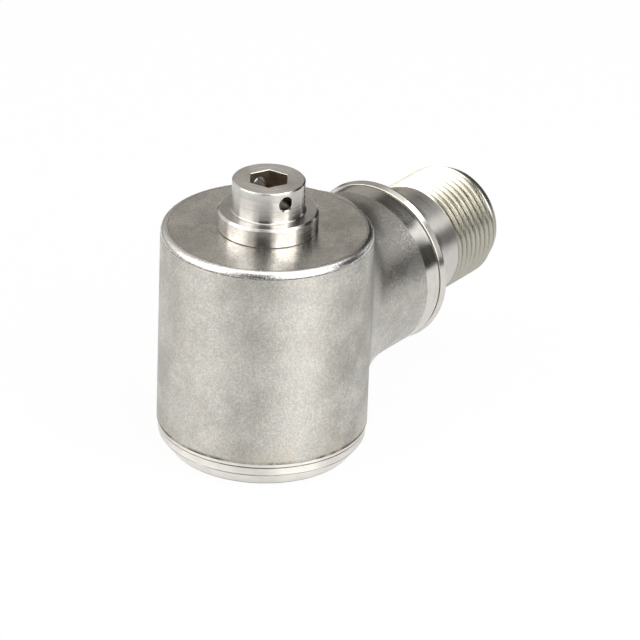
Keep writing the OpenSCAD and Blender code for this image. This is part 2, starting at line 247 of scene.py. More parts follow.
class Shader:
    """A material's node tree, with short ways to add and join nodes. Texture space is in millimetres."""

    def __init__(self, name):
        self.material = bpy.data.materials.new(name)
        self.material.use_nodes = True
        self.tree = self.material.node_tree
        self.surface = self.tree.nodes["Principled BSDF"]
        place = self.add("ShaderNodeTexCoord")
        scale = self.add("ShaderNodeVectorMath", operation="SCALE")
        scale.inputs["Scale"].default_value = 1 / METRE
        self.join(place.outputs["Object"], scale.inputs[0])
        self.space = scale.outputs[0]
        split = self.add("ShaderNodeSeparateXYZ")
        self.join(self.space, split.inputs[0])
        self.x, self.y, self.z = split.outputs

    def add(self, kind, **settings):
        node = self.tree.nodes.new(kind)
        for name, value in settings.items():
            setattr(node, name, value)
        return node

    def join(self, source, target):
        if hasattr(source, "is_linked"):
            self.tree.links.new(source, target)
        else:
            target.default_value = source

    def math(self, operation, a, b=0.0, c=0.0):
        node = self.add("ShaderNodeMath", operation=operation)
        for socket, value in zip(node.inputs, (a, b, c)):
            self.join(value, socket)
        return node.outputs[0]

    def vector(self, x, y, z):
        node = self.add("ShaderNodeCombineXYZ")
        for socket, value in zip(node.inputs, (x, y, z)):
            self.join(value, socket)
        return node.outputs[0]

    def noise(self, scale, detail=2.0, roughness=0.5, space=None, distortion=0.0):
        node = self.add("ShaderNodeTexNoise")
        node.inputs["Scale"].default_value = scale
        node.inputs["Detail"].default_value = detail
        node.inputs["Roughness"].default_value = roughness
        node.inputs["Distortion"].default_value = distortion
        self.join(space or self.space, node.inputs["Vector"])
        return node.outputs["Fac"]

    def radius(self, a, b):
        return self.math("SQRT", self.math("ADD", self.math("POWER", a, 2.0), self.math("POWER", b, 2.0)))

    def fit(self, value, low, high, to_low=0.0, to_high=1.0, smooth=True):
        node = self.add("ShaderNodeMapRange")
        node.interpolation_type = "SMOOTHSTEP" if smooth else "LINEAR"
        for socket, setting in zip(node.inputs, (value, low, high, to_low, to_high)):
            self.join(setting, socket)
        return node.outputs["Result"]

    def blend(self, part, first, second, mode="MIX"):
        node = self.add("ShaderNodeMix", data_type="RGBA", blend_type=mode)
        colours = [socket for socket in node.inputs if socket.type == "RGBA"]
        self.join(part, node.inputs["Factor"])
        for socket, colour in zip(colours, (first, second)):
            if isinstance(colour, tuple):
                socket.default_value = (*colour, 1.0)
            else:
                self.join(colour, socket)
        return [socket for socket in node.outputs if socket.type == "RGBA"][0]

    def bump(self, height, distance, strength=1.0):
        """distance is in millimetres."""
        node = self.add("ShaderNodeBump")
        node.inputs["Strength"].default_value = strength
        node.inputs["Distance"].default_value = distance * METRE
        self.join(height, node.inputs["Height"])
        self.join(node.outputs[0], self.surface.inputs["Normal"])

    def stretch(self, axis, amount):
        """Turning marks that run round an axis stretch each highlight across them."""
        if axis == "arm":
            around = self.vector(0.0, self.math("SUBTRACT", ARM_Z, self.z), self.y)
        else:
            around = self.vector(self.math("MULTIPLY", self.y, -1.0), self.x, 0.0)
        world = self.add("ShaderNodeVectorTransform", vector_type="VECTOR", convert_from="OBJECT",
                         convert_to="WORLD")
        self.join(around, world.inputs[0])
        self.join(world.outputs[0], self.surface.inputs["Tangent"])
        self.set(Anisotropic=amount, Anisotropic_Rotation=0.25)

    def set(self, **values):
        for name, value in values.items():
            self.join(value, self.surface.inputs[name.replace("_", " ")])


def simple_material(name, first, second, scale, roughness, metallic=0.0, bump=0.004):
    """A finish with soft colour variation, fine grain in its gloss and a shallow bump."""
    shader = Shader(name)
    cloud = shader.fit(shader.noise(scale, 3.0), 0.3, 0.7)
    grain = shader.noise(scale * 8, 2.0)
    shader.join(shader.blend(cloud, first, second), shader.surface.inputs["Base Color"])
    gloss = shader.fit(grain, 0.25, 0.75, roughness - 0.06, roughness + 0.06)
    shader.set(Metallic=metallic, Roughness=gloss)
    shader.bump(grain, bump)
    return shader.material


def blasted_steel(name, light, dark, roughness, grit, ring=None, stretch=0.0, blotch=0.03, line=None,
                  corner=None):
    """Fine bead-blasted steel: mottled grain, faint warm and cool blotches, small stains and the heat tint
    along the weld. grit is the depth of the grain in millimetres, and blotch is how strong the blotches are.
    ring is the radius of a thin turning line on a flat top, line is the height where dark specks sit, and
    corner is the radius of the corner between the wall and the blend, where the metal is painted darker as
    shade."""
    shader = Shader(name)
    cloud = shader.fit(shader.noise(0.15, 4.0, 0.6), 0.34, 0.68)
    patch = shader.fit(shader.noise(0.75, 3.0, 0.65), 0.36, 0.64)
    grain = shader.noise(3.4, 3.0, 0.65)
    fine = shader.noise(8.5, 2.0, 0.6)
    colour = shader.blend(cloud, dark, light)
    cool = (1 - blotch, 1 - blotch * 0.95, 1 - blotch * 0.85)
    warm = (1 + blotch * 0.6, 1 + blotch * 0.3, 1 - blotch * 0.3)
    colour = shader.blend(1.0, colour, shader.blend(patch, cool, warm), "MULTIPLY")
    speckle = shader.fit(grain, 0.36, 0.66, 0.81, 1.09, smooth=False)
    speckle = shader.math("MULTIPLY", speckle, shader.fit(fine, 0.36, 0.64, 0.84, 1.13, smooth=False))
    colour = shader.blend(1.0, colour, shader.vector(speckle, speckle, speckle), "MULTIPLY")
    stain = shader.fit(shader.noise(0.33, 5.0, 0.65, distortion=0.6), 0.58, 0.74, 0.0, 0.3)
    colour = shader.blend(stain, colour, (0.5, 0.42, 0.34))
    # The heat of the weld left a thin brown line just over the seam, uneven round the case
    tan = shader.fit(shader.z, 8.0, 4.2, 0.0, 0.3)
    tan = shader.math("MULTIPLY", tan, shader.fit(shader.noise(0.3, 4.0, 0.6), 0.4, 0.6))
    colour = shader.blend(tan, colour, (0.6, 0.53, 0.4))
    heat = shader.fit(shader.z, 4.22, 3.75)
    uneven = shader.fit(shader.noise(0.22, 3.0, 0.65), 0.42, 0.58, 0.25, 1.0)
    colour = shader.blend(shader.math("MULTIPLY", heat, uneven), colour, (0.13, 0.1, 0.065))
    if ring:
        radius = shader.radius(shader.x, shader.y)
        circle = shader.math("ABSOLUTE", shader.math("SUBTRACT", radius, ring))
        circle = shader.fit(circle, 0.03, 0.1, 0.6, 0.0)
        colour = shader.blend(circle, colour, (0.16, 0.145, 0.125))
    # Painted shade: the metal is darker in the corner where the blend meets the wall.
    if corner:
        corner_shade = shader.fit(shader.radius(shader.x, shader.y), corner - 0.1, corner + 0.4, 0.6, 0.0)
        colour = shader.blend(corner_shade, colour, (0.2, 0.185, 0.165))
    if line:
        near = shader.fit(shader.math("ABSOLUTE", shader.math("SUBTRACT", shader.z, line)), 0.04, 0.3)
        near = shader.math("SUBTRACT", 1.0, near)
        specks = shader.math("ADD", shader.noise(4.2, 2.0, 0.6), shader.math("MULTIPLY", near, 0.2))
        specks = shader.fit(specks, 0.58, 0.68)
        specks = shader.math("MULTIPLY", specks, shader.math("MULTIPLY", near, 0.9))
        colour = shader.blend(specks, colour, (0.1, 0.09, 0.08))
    shader.join(colour, shader.surface.inputs["Base Color"])
    gloss = shader.math("ADD", shader.math("MULTIPLY", cloud, 0.5), shader.math("MULTIPLY", grain, 0.5))
    shader.set(Metallic=1.0, Roughness=shader.fit(gloss, 0.2, 0.8, roughness + 0.06, roughness - 0.06))
    if stretch:
        shader.stretch("screw", stretch)
    height = shader.math("ADD", grain, shader.math("MULTIPLY", fine, 0.6))
    shader.bump(height, grit)
    return shader.material


def turned_steel(name, light, dark, roughness, axis, depth=0.0012, pitch=7.0, stretch=0.85, marks=(),
                 root=None, lower_shade=None):
    """Machined steel: fine rings round its axis in gloss, tint and a very shallow bump. The turning marks
    stretch each highlight across them, along the axis. marks are places of thin dark lines along the axis,
    root is a thread's root radius, near which the metal is painted darker as shade in the roots, and the
    last argument sets how dark the painted shade on the lower side gets."""
    shader = Shader(name)
    if axis == "arm":
        along = shader.x
        side = shader.y
        up = shader.math("SUBTRACT", shader.z, ARM_Z)
    else:
        along = shader.z
        side = shader.x
        up = shader.y
    radius = shader.radius(side, up)
    rings = shader.noise(pitch, 3.0, 0.75, space=shader.vector(along, radius, 0.0))
    wide = shader.noise(0.9, 2.0, 0.5, space=shader.vector(along, radius, 4.0))
    cloud = shader.noise(0.35, 4.0, 0.6)
    tone = shader.math("ADD", shader.math("MULTIPLY", rings, 0.5), shader.math("MULTIPLY", cloud, 0.5))
    tone = shader.fit(tone, 0.34, 0.62)
    colour = shader.blend(tone, dark, light)
    for mark in marks:
        line = shader.math("ABSOLUTE", shader.math("SUBTRACT", along, mark))
        line = shader.fit(line, 0.03, 0.13, 0.8, 0.0)
        line = shader.math("MULTIPLY", line, shader.fit(cloud, 0.36, 0.5, 0.35, 1.0))
        colour = shader.blend(line, colour, (0.13, 0.115, 0.095))
    # Painted shade: the metal is darker near the thread's root radius, down in the roots.
    if root:
        root_shade = shader.fit(radius, root + 0.05, root + 0.4, 0.5, 0.0)
        colour = shader.blend(root_shade, colour, (0.2, 0.18, 0.13))
    # Painted shade: the colour darkens from 7 mm over the axis down to 2 mm, so the lower side is darker.
    if lower_shade:
        lower_shade_factor = shader.fit(up, 7.0, 2.0, 1.0, lower_shade)
        colour = shader.blend(1.0, colour, shader.vector(lower_shade_factor, lower_shade_factor, lower_shade_factor), "MULTIPLY")
    shader.join(colour, shader.surface.inputs["Base Color"])
    gloss = shader.math("ADD", shader.math("MULTIPLY", rings, 0.6), shader.math("MULTIPLY", wide, 0.4))
    shader.set(Metallic=1.0, Roughness=shader.fit(gloss, 0.3, 0.7, roughness - 0.05, roughness + 0.07))
    shader.stretch(axis, stretch)
    shader.bump(rings, depth)
    return shader.material


WALL_STEEL = blasted_steel("wall_steel", (0.655, 0.64, 0.6), (0.55, 0.534, 0.498), 0.44, 0.036,
                           stretch=0.75, blotch=0.045)
TOP_STEEL = blasted_steel("top_steel", (0.78, 0.76, 0.73), (0.6, 0.58, 0.555), 0.23, 0.012,
                          ring=CASE_R - CASE_EDGE - 0.02, stretch=0.75, blotch=0.09)
BOSS_STEEL = blasted_steel("boss_steel", (0.58, 0.565, 0.54), (0.44, 0.425, 0.4), 0.31, 0.04,
                           blotch=0.06, corner=CASE_R)
EDGE_STEEL = blasted_steel("edge_steel", (0.84, 0.825, 0.8), (0.72, 0.705, 0.68), 0.17, 0.036,
                           line=CASE_TOP - CASE_EDGE)
ARM_STEEL = turned_steel("arm_steel", (0.7, 0.68, 0.64), (0.58, 0.56, 0.52), 0.19, "arm", stretch=0.45)
BARREL_STEEL = turned_steel("barrel_steel", (0.63, 0.61, 0.575), (0.53, 0.51, 0.48), 0.31, "arm",
                            stretch=0.3)
# The thread's colour is painted: light on top, with painted shade on its lower side and in its roots.
THREAD_STEEL = turned_steel("thread_steel", (0.93, 0.9, 0.79), (0.84, 0.81, 0.7), 0.26, "arm",
                            stretch=0.2, root=THREAD_R - 0.57, lower_shade=0.52)
BASE_STEEL = turned_steel("base_steel", (0.88, 0.86, 0.81), (0.72, 0.7, 0.65), 0.33, "screw",
                          stretch=0.88, marks=(0.1, 1.95, 3.08))
SCREW_STEEL = turned_steel("screw_steel", (0.66, 0.645, 0.615), (0.49, 0.475, 0.45), 0.2, "screw",
                           stretch=0.95)
# The faced steel of the head's top; its lighter colour on the lockwire hole's flares is a painted highlight.
FACE_STEEL_AND_HIGHLIGHT = turned_steel("face_steel_and_painted_highlight", (0.86, 0.84, 0.8), (0.66, 0.64, 0.61), 0.22, "screw",
                          depth=0.003, stretch=0.75)
# The socket's dark brown is painted shade inside the recess.
SHADED_SOCKET_STEEL = simple_material("socket_steel_painted_shade", (0.46, 0.38, 0.3), (0.24, 0.2, 0.155), 0.7, 0.36,
                               metallic=1.0, bump=0.006)
# The lockwire hole's near-black is painted shade inside the hole.
SHADED_HOLE_STEEL = simple_material("hole_steel_painted_shade", (0.17, 0.155, 0.138), (0.07, 0.062, 0.053), 0.9, 0.28,
                             metallic=1.0, bump=0.004)
GOLD = simple_material("gold_plate", (0.83, 0.62, 0.27), (0.76, 0.54, 0.22), 1.2, 0.2,
                       metallic=1.0, bump=0.001)
GLASS = simple_material("seal_glass", (0.05, 0.085, 0.09), (0.03, 0.06, 0.07), 0.9, 0.12, bump=0.002)

CAD_FINISHES = {
    "retaining_ring": simple_material("ring_rubber", (0.02, 0.02, 0.02), (0.035, 0.034, 0.033), 1.5, 0.6),
    "insulating_sleeve": simple_material("insulator", (0.72, 0.68, 0.56), (0.65, 0.6, 0.48), 0.8, 0.5),
    "lower_piezo_ring": simple_material("ceramic", (0.74, 0.7, 0.6), (0.66, 0.62, 0.52), 1.5, 0.6),
    "lower_electrode": simple_material("electrode_brass", (0.8, 0.62, 0.3), (0.7, 0.52, 0.24), 1.0, 0.3,
                                       metallic=1.0, bump=0.001),
    "seismic_mass": simple_material("heavy_metal", (0.42, 0.42, 0.43), (0.34, 0.34, 0.36), 1.1, 0.34,
                                    metallic=1.0, bump=0.002),
    "shield_can": simple_material("inner_steel", (0.66, 0.65, 0.62), (0.56, 0.55, 0.52), 0.9, 0.3,
                                  metallic=1.0, bump=0.002),
    "circuit_board": simple_material("board_green", (0.03, 0.16, 0.07), (0.02, 0.11, 0.05), 0.7, 0.35),
    "amplifier_chip": simple_material("part_black", (0.02, 0.02, 0.022), (0.035, 0.035, 0.036), 2.5, 0.45),
    "coupling_capacitor": simple_material("part_tan", (0.5, 0.36, 0.2), (0.42, 0.3, 0.17), 2.0, 0.4),
    "signal_lead": simple_material("lead_copper", (0.8, 0.42, 0.26), (0.7, 0.36, 0.22), 1.5, 0.3,
                                   metallic=1.0, bump=0.001),
}
SAME_FINISH = {
    "insulating_sleeve": ("lower_insulator", "upper_insulator", "shield_seat", "board_spacer"),
    "lower_piezo_ring": ("upper_piezo_ring",),
    "lower_electrode": ("middle_electrode", "upper_electrode"),
    "shield_can": ("preload_washer", "preload_nut"),
    "amplifier_chip": ("bias_diode", "feedback_resistor"),
    "signal_lead": ("return_lead", "link_lead", "pin_lead_a", "pin_lead_b"),
}


def dress(node, material):
    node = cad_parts[node]
    for slot in node.material_slots:
        slot.material = material


for first_node, material in CAD_FINISHES.items():
    dress(first_node, material)
    for other_node in SAME_FINISH.get(first_node, ()):
        dress(other_node, material)


def place_piece(piece, body, node, slot, *materials):
    """The piece takes the materials, rides on the body and stands for the CAD node, which it hides. slot is
    not used.
    """
    for material in materials:
        piece.data.materials.append(material)
    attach(piece, body)
    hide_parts(node)


# The case


# It is a turned cylinder with a round boss and the cast blend that a ball leaves when it rolls in the corner
# between them. One list of angles round the arm serves every surface that meets the boss.
SIDE_STEPS = 60
CAP_STEPS = 40
ARC_STEPS = 24
CAST_STEP = 0.1
WALL_STEPS = 200
LEDGE_TOP = CASE_TOP - CASE_EDGE
LEDGE_BOTTOM = CASE_BOTTOM + CASE_EDGE
BALL_REACH = BOSS_R + BLEND_R

top_angle = math.asin((LEDGE_TOP - ARM_Z) / BALL_REACH)
bottom_angle = math.asin((LEDGE_BOTTOM - ARM_Z) / BALL_REACH)


def spaced(first, last, steps):
    return [first + (last - first) * k / steps for k in range(steps + 1)]


side_angles = spaced(bottom_angle, top_angle, SIDE_STEPS)
top_angles = spaced(top_angle, math.pi - top_angle, CAP_STEPS)
far_angles = spaced(math.pi - top_angle, math.pi - bottom_angle, SIDE_STEPS)
low_angles = spaced(math.pi - bottom_angle, TURN + bottom_angle, CAP_STEPS)
arm_angles = side_angles + top_angles[1:] + far_angles[1:] + low_angles[1:]


def ball_centre(angle):
    y = BALL_REACH * math.cos(angle)
    return Vector((math.sqrt((CASE_R + BLEND_R) ** 2 - y * y), y, ARM_Z + BALL_REACH * math.sin(angle)))


def blend_point(angle, part):
    """A point of the blend: part runs from 0 at the case's wall to 1 at the boss."""
    centre = ball_centre(angle)
    to_case = Vector((-centre.x, -centre.y, 0)).normalized()
    to_boss = Vector((0, -math.cos(angle), -math.sin(angle)))
    sweep = to_case.angle(to_boss)
    spot = (to_case * math.sin((1 - part) * sweep) + to_boss * math.sin(part * sweep)) / math.sin(sweep)
    return centre + BLEND_R * spot


def blend_start(angle, ledge):
    """Where the blend leaves the turned ledge, found by halving."""
    low, high = 0.0, 1.0
    above = blend_point(angle, 0.0).z > ledge
    for step in range(40):
        middle = (low + high) / 2
        if (blend_point(angle, middle).z > ledge) == above:
            low = middle
        else:
            high = middle
    return high


def blend_row(angle):
    height = ball_centre(angle).z
    if height > LEDGE_TOP + 1e-6:
        first = blend_start(angle, LEDGE_TOP)
    elif height < LEDGE_BOTTOM - 1e-6:
        first = blend_start(angle, LEDGE_BOTTOM)
    else:
        first = 0.0
    # The wall is turned after casting, so the cast skin starts a little lower, except near the ledges
    inside = min(height - LEDGE_BOTTOM, LEDGE_TOP - height) / 3
    depth = CAST_STEP * min(max(inside, 0.0), 1.0)
    row = [tuple(blend_point(angle, first))]
    for part in spaced(first, 1.0, ARC_STEPS):
        point = blend_point(angle, part)
        outward = Vector((point.x, point.y, 0)).normalized()
        row.append(tuple(point - outward * depth * max(0.0, 1 - part / 0.35) ** 2))
    return row


def round_case(radius, azimuth, z):
    return (radius * math.cos(azimuth), radius * math.sin(azimuth), z)


def make_case():
    skin = Skin()
    wall, top, boss, machined, polished = range(5)
    blend_rows = [blend_row(angle) for angle in arm_angles]
    skin.patch(blend_rows, boss)

    # The case's wall spans from the blend's edge round the back to its other edge, one row for each height
    side_azimuths = [math.atan2(row[0][1], row[0][0]) for row in blend_rows[:SIDE_STEPS + 1]]
    heights = [ball_centre(angle).z for angle in side_angles]
    skin.patch([[round_case(CASE_R, a, z) for a in spaced(edge, TURN - edge, WALL_STEPS)]
                for edge, z in zip(side_azimuths, heights)], wall)

    # The turned ledges that cut the blend off at its top and bottom
    first_cap = SIDE_STEPS
    second_cap = 2 * SIDE_STEPS + CAP_STEPS
    top_curve = [row[0] for row in blend_rows[first_cap:first_cap + CAP_STEPS + 1]]
    low_curve = [row[0] for row in blend_rows[second_cap:second_cap + CAP_STEPS + 1]]
    rings = []
    half = CAP_STEPS // 2
    ledges = ((top_curve, LEDGE_TOP, side_azimuths[-1]), (low_curve, LEDGE_BOTTOM, side_azimuths[0]))
    for curve, z, edge in ledges:
        ordered = sorted(curve, key=lambda point: math.atan2(point[1], point[0]))
        azimuths = [math.atan2(point[1], point[0]) for point in ordered]
        inner = [round_case(CASE_R, a, z) for a in azimuths]
        skin.patch([inner, ordered], machined)
        rings.append(azimuths[half:-1] + spaced(edge, TURN - edge, WALL_STEPS)
                     + [TURN + a for a in azimuths[1:half + 1]])
    top_ring, low_ring = rings
    even_ring = spaced(0.0, TURN, len(top_ring) - 1)

    # Rounded top edge, flat top and the bore's edge
    arc = [(CASE_R - CASE_EDGE + CASE_EDGE * math.cos(a), LEDGE_TOP + CASE_EDGE * math.sin(a))
           for a in spaced(0.0, math.pi / 2, 10)]
    skin.patch([[round_case(r, a, z) for a in top_ring] for r, z in arc], polished)
    flat = CASE_R - CASE_EDGE
    bore_edge = 0.25
    skin.patch([[round_case(flat, a, CASE_TOP) for a in top_ring],
                [round_case(flat - 0.05, a, CASE_TOP) for a in top_ring],
                [round_case(BORE_R + bore_edge, a, CASE_TOP) for a in even_ring],
                [round_case(BORE_R, a, CASE_TOP - bore_edge) for a in even_ring]], top)

    # Lower edge and the annulus that is welded to the base
    foot = 0.12
    lower_edge = ((CASE_R, LEDGE_BOTTOM), (CASE_R, CASE_BOTTOM + foot + 0.05), (CASE_R, CASE_BOTTOM + foot),
                  (CASE_R - 0.3 * foot, CASE_BOTTOM + 0.3 * foot), (CASE_R - foot, CASE_BOTTOM))
    skin.patch([[round_case(r, a, z) for a in low_ring] for r, z in lower_edge], wall)
    skin.patch([[round_case(CASE_R - foot, a, CASE_BOTTOM) for a in low_ring],
                [round_case(INNER_R, a, CASE_BOTTOM) for a in even_ring]], machined)

    # Inside: the cavity's wall with the hole where the arm's bore meets it, its ceiling and the screw's bore
    hole_angles = low_angles[half:-1] + [TURN + a for a in side_angles + top_angles[1:half + 1]]

    def hole_point(angle):
        y = ARM_BORE_R * math.cos(angle)
        return (math.sqrt(INNER_R ** 2 - y * y), y, ARM_Z + ARM_BORE_R * math.sin(angle))

    def inside_row(edge, z):
        return [round_case(INNER_R, a, z) for a in spaced(edge, TURN - edge, len(even_ring) - 1)]

    inside = [inside_row(0.0, CASE_BOTTOM)]
    for angle in hole_angles:
        x, y, z = hole_point(angle)
        inside.append(inside_row(max(math.atan2(y, x), 0.0), z))
    inside.append(inside_row(0.0, INNER_TOP))
    skin.patch(inside, machined)
    ceiling = ((INNER_R, INNER_TOP), (BORE_R, INNER_TOP), (BORE_R, CASE_TOP - bore_edge))
    skin.patch([[round_case(r, a, z) for a in even_ring] for r, z in ceiling], machined)

    # Arm: bore, spigot seat, end face, collar, and the boss back to the blend
    def arm_row(x, radius):
        return [round_arm(x, radius, a) for a in arm_angles]

    edge = 0.06
    outline = rounded([
        (COLLAR_START, BOSS_R, 0), (COLLAR_START + 1.2, COLLAR_R, 0), (BOSS_END, COLLAR_R, edge),
        (BOSS_END, SPIGOT_R, edge), (SPIGOT_START, SPIGOT_R, 0), (SPIGOT_START, ARM_BORE_R, 0),
    ], closed=False)
    arm_rows = [arm_row(x, radius) for x, radius in outline]
    skin.patch(arm_rows + [[hole_point(a) for a in arm_angles]], machined)
    skin.patch([[row[-1] for row in blend_rows], arm_row(COLLAR_START, BOSS_R)], boss)

    piece = skin.finish("case")
    place_piece(piece, "housing", "case_body", "cast_steel",
                WALL_STEEL, TOP_STEEL, BOSS_STEEL, ARM_STEEL, EDGE_STEEL)


def make_base():
    """The turned base: a stepped foot, the step that centres the case, and the hollow post."""
    skin = Skin()
    step_top = 4.6
    post_r = 4.8
    wide_bore_r = 4.1
    outline = rounded([
        (0, BORE_R + 0.4, 0.1), (0, 12.25, 0), (0.15, 12.4, 0.05), (1.88, 13.69, 0.02), (1.95, 13.64, 0.02),
        (2.04, 13.8, 0.04), (3.0, 13.8, 0.03), (3.1, 13.62, 0), (3.2, 13.9, 0.04), (CASE_BOTTOM, 13.9, 0),
        (CASE_BOTTOM, SEAT_R, 0), (step_top, SEAT_R, 0.1), (step_top, post_r, 0), (INNER_TOP, post_r, 0),
        (INNER_TOP, wide_bore_r, 0), (20, wide_bore_r, 0), (19.35, BORE_R, 0), (0.4, BORE_R, 0.05),
    ])
    turned(skin, outline, round_z, 256)
    piece = skin.finish("base")
    place_piece(piece, "housing", "base_plate", "base_steel", BASE_STEEL)


def make_shell():
    """The threaded connector shell with its lip ring, spigot and keyway."""
    skin = Skin()
    chamfer = (THREAD_R - MOUTH_R) / (MOUTH_X - THREAD_END)

    def trim(along, radius):
        if along > THREAD_END:
            radius = min(radius, THREAD_R - chamfer * (along - THREAD_END))
        return max(radius, BARREL_R - 0.75 * (along - THREAD_START))

    lead_bore_r = 5.2
    spigot_r = 8.55
    neck_r = 10.8
    lip_start = 24.5
    lip_end = 25.58
    back = rounded([
        (GLASS_BACK, lead_bore_r, 0), (SPIGOT_START, lead_bore_r, 0.2), (SPIGOT_START, spigot_r, 0.2),
        (BOSS_END, spigot_r, 0), (BOSS_END, neck_r, 0.05), (lip_start, neck_r, 0), (lip_start, 11.12, 0.1),
        (25.34, 11.32, 0.12), (lip_end, 11.3, 0.12), (lip_end, BARREL_R, 0.12), (THREAD_START, BARREL_R, 0),
    ], closed=False)
    thread = thread_rows(THREAD_START, THREAD_END, THREAD_PITCH, THREAD_R, trim)
    lead_in = thread_rows(THREAD_END, MOUTH_X - 0.06, THREAD_PITCH, THREAD_R, trim)
    front = rounded([
        (MOUTH_X - 0.06, MOUTH_R + 0.02, 0), (MOUTH_X, MOUTH_R - 0.06, 0), (MOUTH_X, CAVITY_R + 0.25, 0.05),
        (MOUTH_X - 0.25, CAVITY_R, 0.05), (GLASS_BACK, CAVITY_R, 0), (GLASS_BACK, lead_bore_r, 0),
    ], closed=False)
    lip_foot = back.index(min(back, key=lambda point: abs(point[0] - lip_end) + abs(point[1] - BARREL_R)))
    plain, threaded, barrel = range(3)
    turned(skin, back[:lip_foot + 1], round_arm, 240, plain)
    turned(skin, back[lip_foot:], round_arm, 240, barrel)
    turned(skin, thread + lead_in, round_arm, 240, threaded)
    turned(skin, front, round_arm, 240, plain)
    piece = skin.finish("connector")
    keyway = box_cutter((THREAD_START + 0.05, -1.5, ARM_Z), (MOUTH_X + 1, 1.5, ARM_Z + 6.95))
    cut(piece, [keyway], [ARM_STEEL, THREAD_STEEL, BARREL_STEEL])
    place_piece(piece, "housing", "connector_shell", "connector_steel")


def box_cutter(low, high):
    skin = Skin()
    x0, y0, z0 = low
    x1, y1, z1 = high
    ring = [(y0, z0), (y1, z0), (y1, z1), (y0, z1), (y0, z0)]
    middle_y = (y0 + y1) / 2
    middle_z = (z0 + z1) / 2
    skin.patch([[(x0, middle_y, middle_z)] * 5, [(x0, y, z) for y, z in ring],
                [(x1, y, z) for y, z in ring], [(x1, middle_y, middle_z)] * 5])
    return skin.finish("cutter")


def make_glass():
    """The glass seal, drawn up a little where it wets the shell and the two pins."""
    skin = Skin()

    def front(radius, angle):
        y = radius * math.cos(angle)
        z = radius * math.sin(angle)
        pin = min(math.hypot(y - PIN_Y, z), math.hypot(y + PIN_Y, z)) - PIN_R
        rise = 0.3 * math.exp(-max(pin, 0.0) / 0.16) + 0.26 * math.exp(-(CAVITY_R - radius) / 0.22)
        return THREAD_START - 0.35 + min(rise, 0.33)

    rows = [(GLASS_BACK, 0.0), (GLASS_BACK, CAVITY_R), (THREAD_START - 0.09, CAVITY_R)]
    steps = 72
    for k in range(steps):
        radius = CAVITY_R * (1 - k / steps)
        rows.append(lambda angle, radius=radius: (front(radius, angle), radius))
    rows.append((front(0.0, 0.0), 0.0))
    turned(skin, rows, round_arm, 144)
    piece = skin.finish("glass")
    place_piece(piece, "housing", "glass_seal", "seal_glass", GLASS)


def make_pin(side, name, node):
    """A contact pin with a rounded tip, and a solder cup at its back."""
    skin = Skin()
    outline = rounded([
        (29.0, 0, 0), (29.0, 0.55, 0.1), (26.5, 0.55, 0.06), (26.5, 1.1, 0.1), (29.5, 1.1, 0.15),
        (29.5, PIN_R, 0), (MOUTH_X - 2, PIN_R, 0.45), (MOUTH_X - 2, 0, 0),
    ], closed=False, steps=8)

    def place(along, radius, angle):
        return (along, side * PIN_Y + radius * math.cos(angle), ARM_Z + radius * math.sin(angle))

    turned(skin, outline, place, 64)
    piece = skin.finish(name)
    place_piece(piece, "housing", node, "gold_plate", GOLD)


